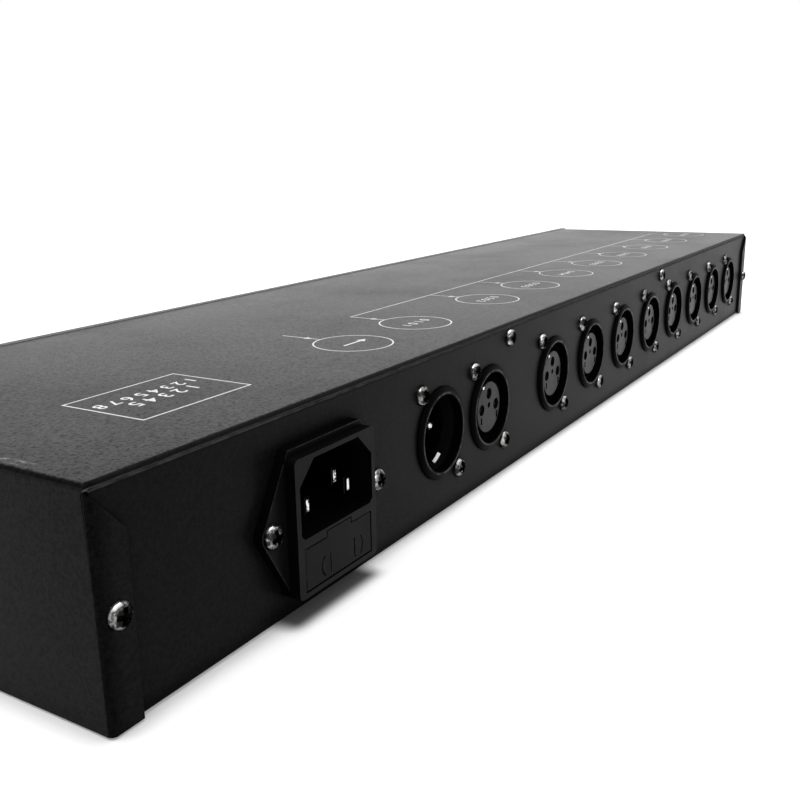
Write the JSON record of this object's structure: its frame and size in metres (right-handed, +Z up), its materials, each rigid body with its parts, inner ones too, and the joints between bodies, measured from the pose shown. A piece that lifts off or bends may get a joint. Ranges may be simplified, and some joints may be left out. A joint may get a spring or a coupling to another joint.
{
  "type": "dmx splitter",
  "caption": "Rack-height sheet-metal signal splitter box with a fused mains inlet and a row of round three-pin sockets.",
  "frame": {"origin": "middle of the flat face of the base tray that the box rests on", "axes": "+X to the right as seen from the front panel, +Y towards the rear with its sockets, +Z up"},
  "size_m": [0.472, 0.1188, 0.0446],
  "materials": {
    "powder_coat": "fine textured black powder coat, satin",
    "panel_coat": "smooth black powder coat, satin",
    "connector_black": "moulded black, satin",
    "black_plastic": "moulded black, satin",
    "carrier_grey": "moulded dark grey, satin",
    "rocker_plastic": "moulded red, glossy",
    "screw_nickel": "dark nickel plate, bright",
    "bright_nickel": "bright nickel plate",
    "circuit_board": "green solder mask",
    "wire_sleeve": "flexible black sleeve",
    "fuse_glass": "clear glass with plated caps"
  },
  "bodies": {
    "case": {"base_tray": "powder_coat", "top_cover": "powder_coat", "front_panel": "panel_coat", "main_board": "circuit_board", "power_supply": "circuit_board", "mains_harness": "wire_sleeve", "switch_body": "black_plastic", "inlet_body": "black_plastic", "inlet_pin_live": "bright_nickel", "inlet_pin_neutral": "bright_nickel", "inlet_pin_earth": "bright_nickel", "input_shell": "connector_black", "input_carrier": "black_plastic", "thru_shell": "connector_black", "thru_carrier": "carrier_grey", "output_1_shell": "connector_black", "output_1_carrier": "carrier_grey", "output_2_shell": "connector_black", "output_2_carrier": "carrier_grey", "output_3_shell": "connector_black", "output_3_carrier": "carrier_grey", "output_4_shell": "connector_black", "output_4_carrier": "carrier_grey", "output_5_shell": "connector_black", "output_5_carrier": "carrier_grey", "output_6_shell": "connector_black", "output_6_carrier": "carrier_grey", "output_7_shell": "connector_black", "output_7_carrier": "carrier_grey", "output_8_shell": "connector_black", "output_8_carrier": "carrier_grey", "input_screw_upper": "screw_nickel", "input_screw_lower": "screw_nickel", "thru_screw_upper": "screw_nickel", "thru_screw_lower": "screw_nickel", "output_1_screw_upper": "screw_nickel", "output_1_screw_lower": "screw_nickel", "output_2_screw_upper": "screw_nickel", "output_2_screw_lower": "screw_nickel", "output_3_screw_upper": "screw_nickel", "output_3_screw_lower": "screw_nickel", "output_4_screw_upper": "screw_nickel", "output_4_screw_lower": "screw_nickel", "output_5_screw_upper": "screw_nickel", "output_5_screw_lower": "screw_nickel", "output_6_screw_upper": "screw_nickel", "output_6_screw_lower": "screw_nickel", "output_7_screw_upper": "screw_nickel", "output_7_screw_lower": "screw_nickel", "output_8_screw_upper": "screw_nickel", "output_8_screw_lower": "screw_nickel", "cover_screw_1": "screw_nickel", "cover_screw_2": "screw_nickel", "end_screw_1": "screw_nickel", "end_screw_2": "screw_nickel", "inlet_screw_1": "screw_nickel", "inlet_screw_2": "screw_nickel"},
    "fuse_drawer": {"fuse_drawer": "black_plastic", "fuse": "fuse_glass"},
    "rocker": {"switch_rocker": "rocker_plastic"}
  },
  "joints": [
    {"name": "fuse_drawer_slide", "type": "slide", "parent": "case", "child": "fuse_drawer", "axis": [0, 1, 0], "range_m": [0, 0.022]},
    {"name": "rocker_hinge", "type": "hinge", "parent": "case", "child": "rocker", "pos_m": [0.205, -0.0564, 0.022], "axis": [-1, 0, 0], "range_deg": [0, 24]}
  ]
}
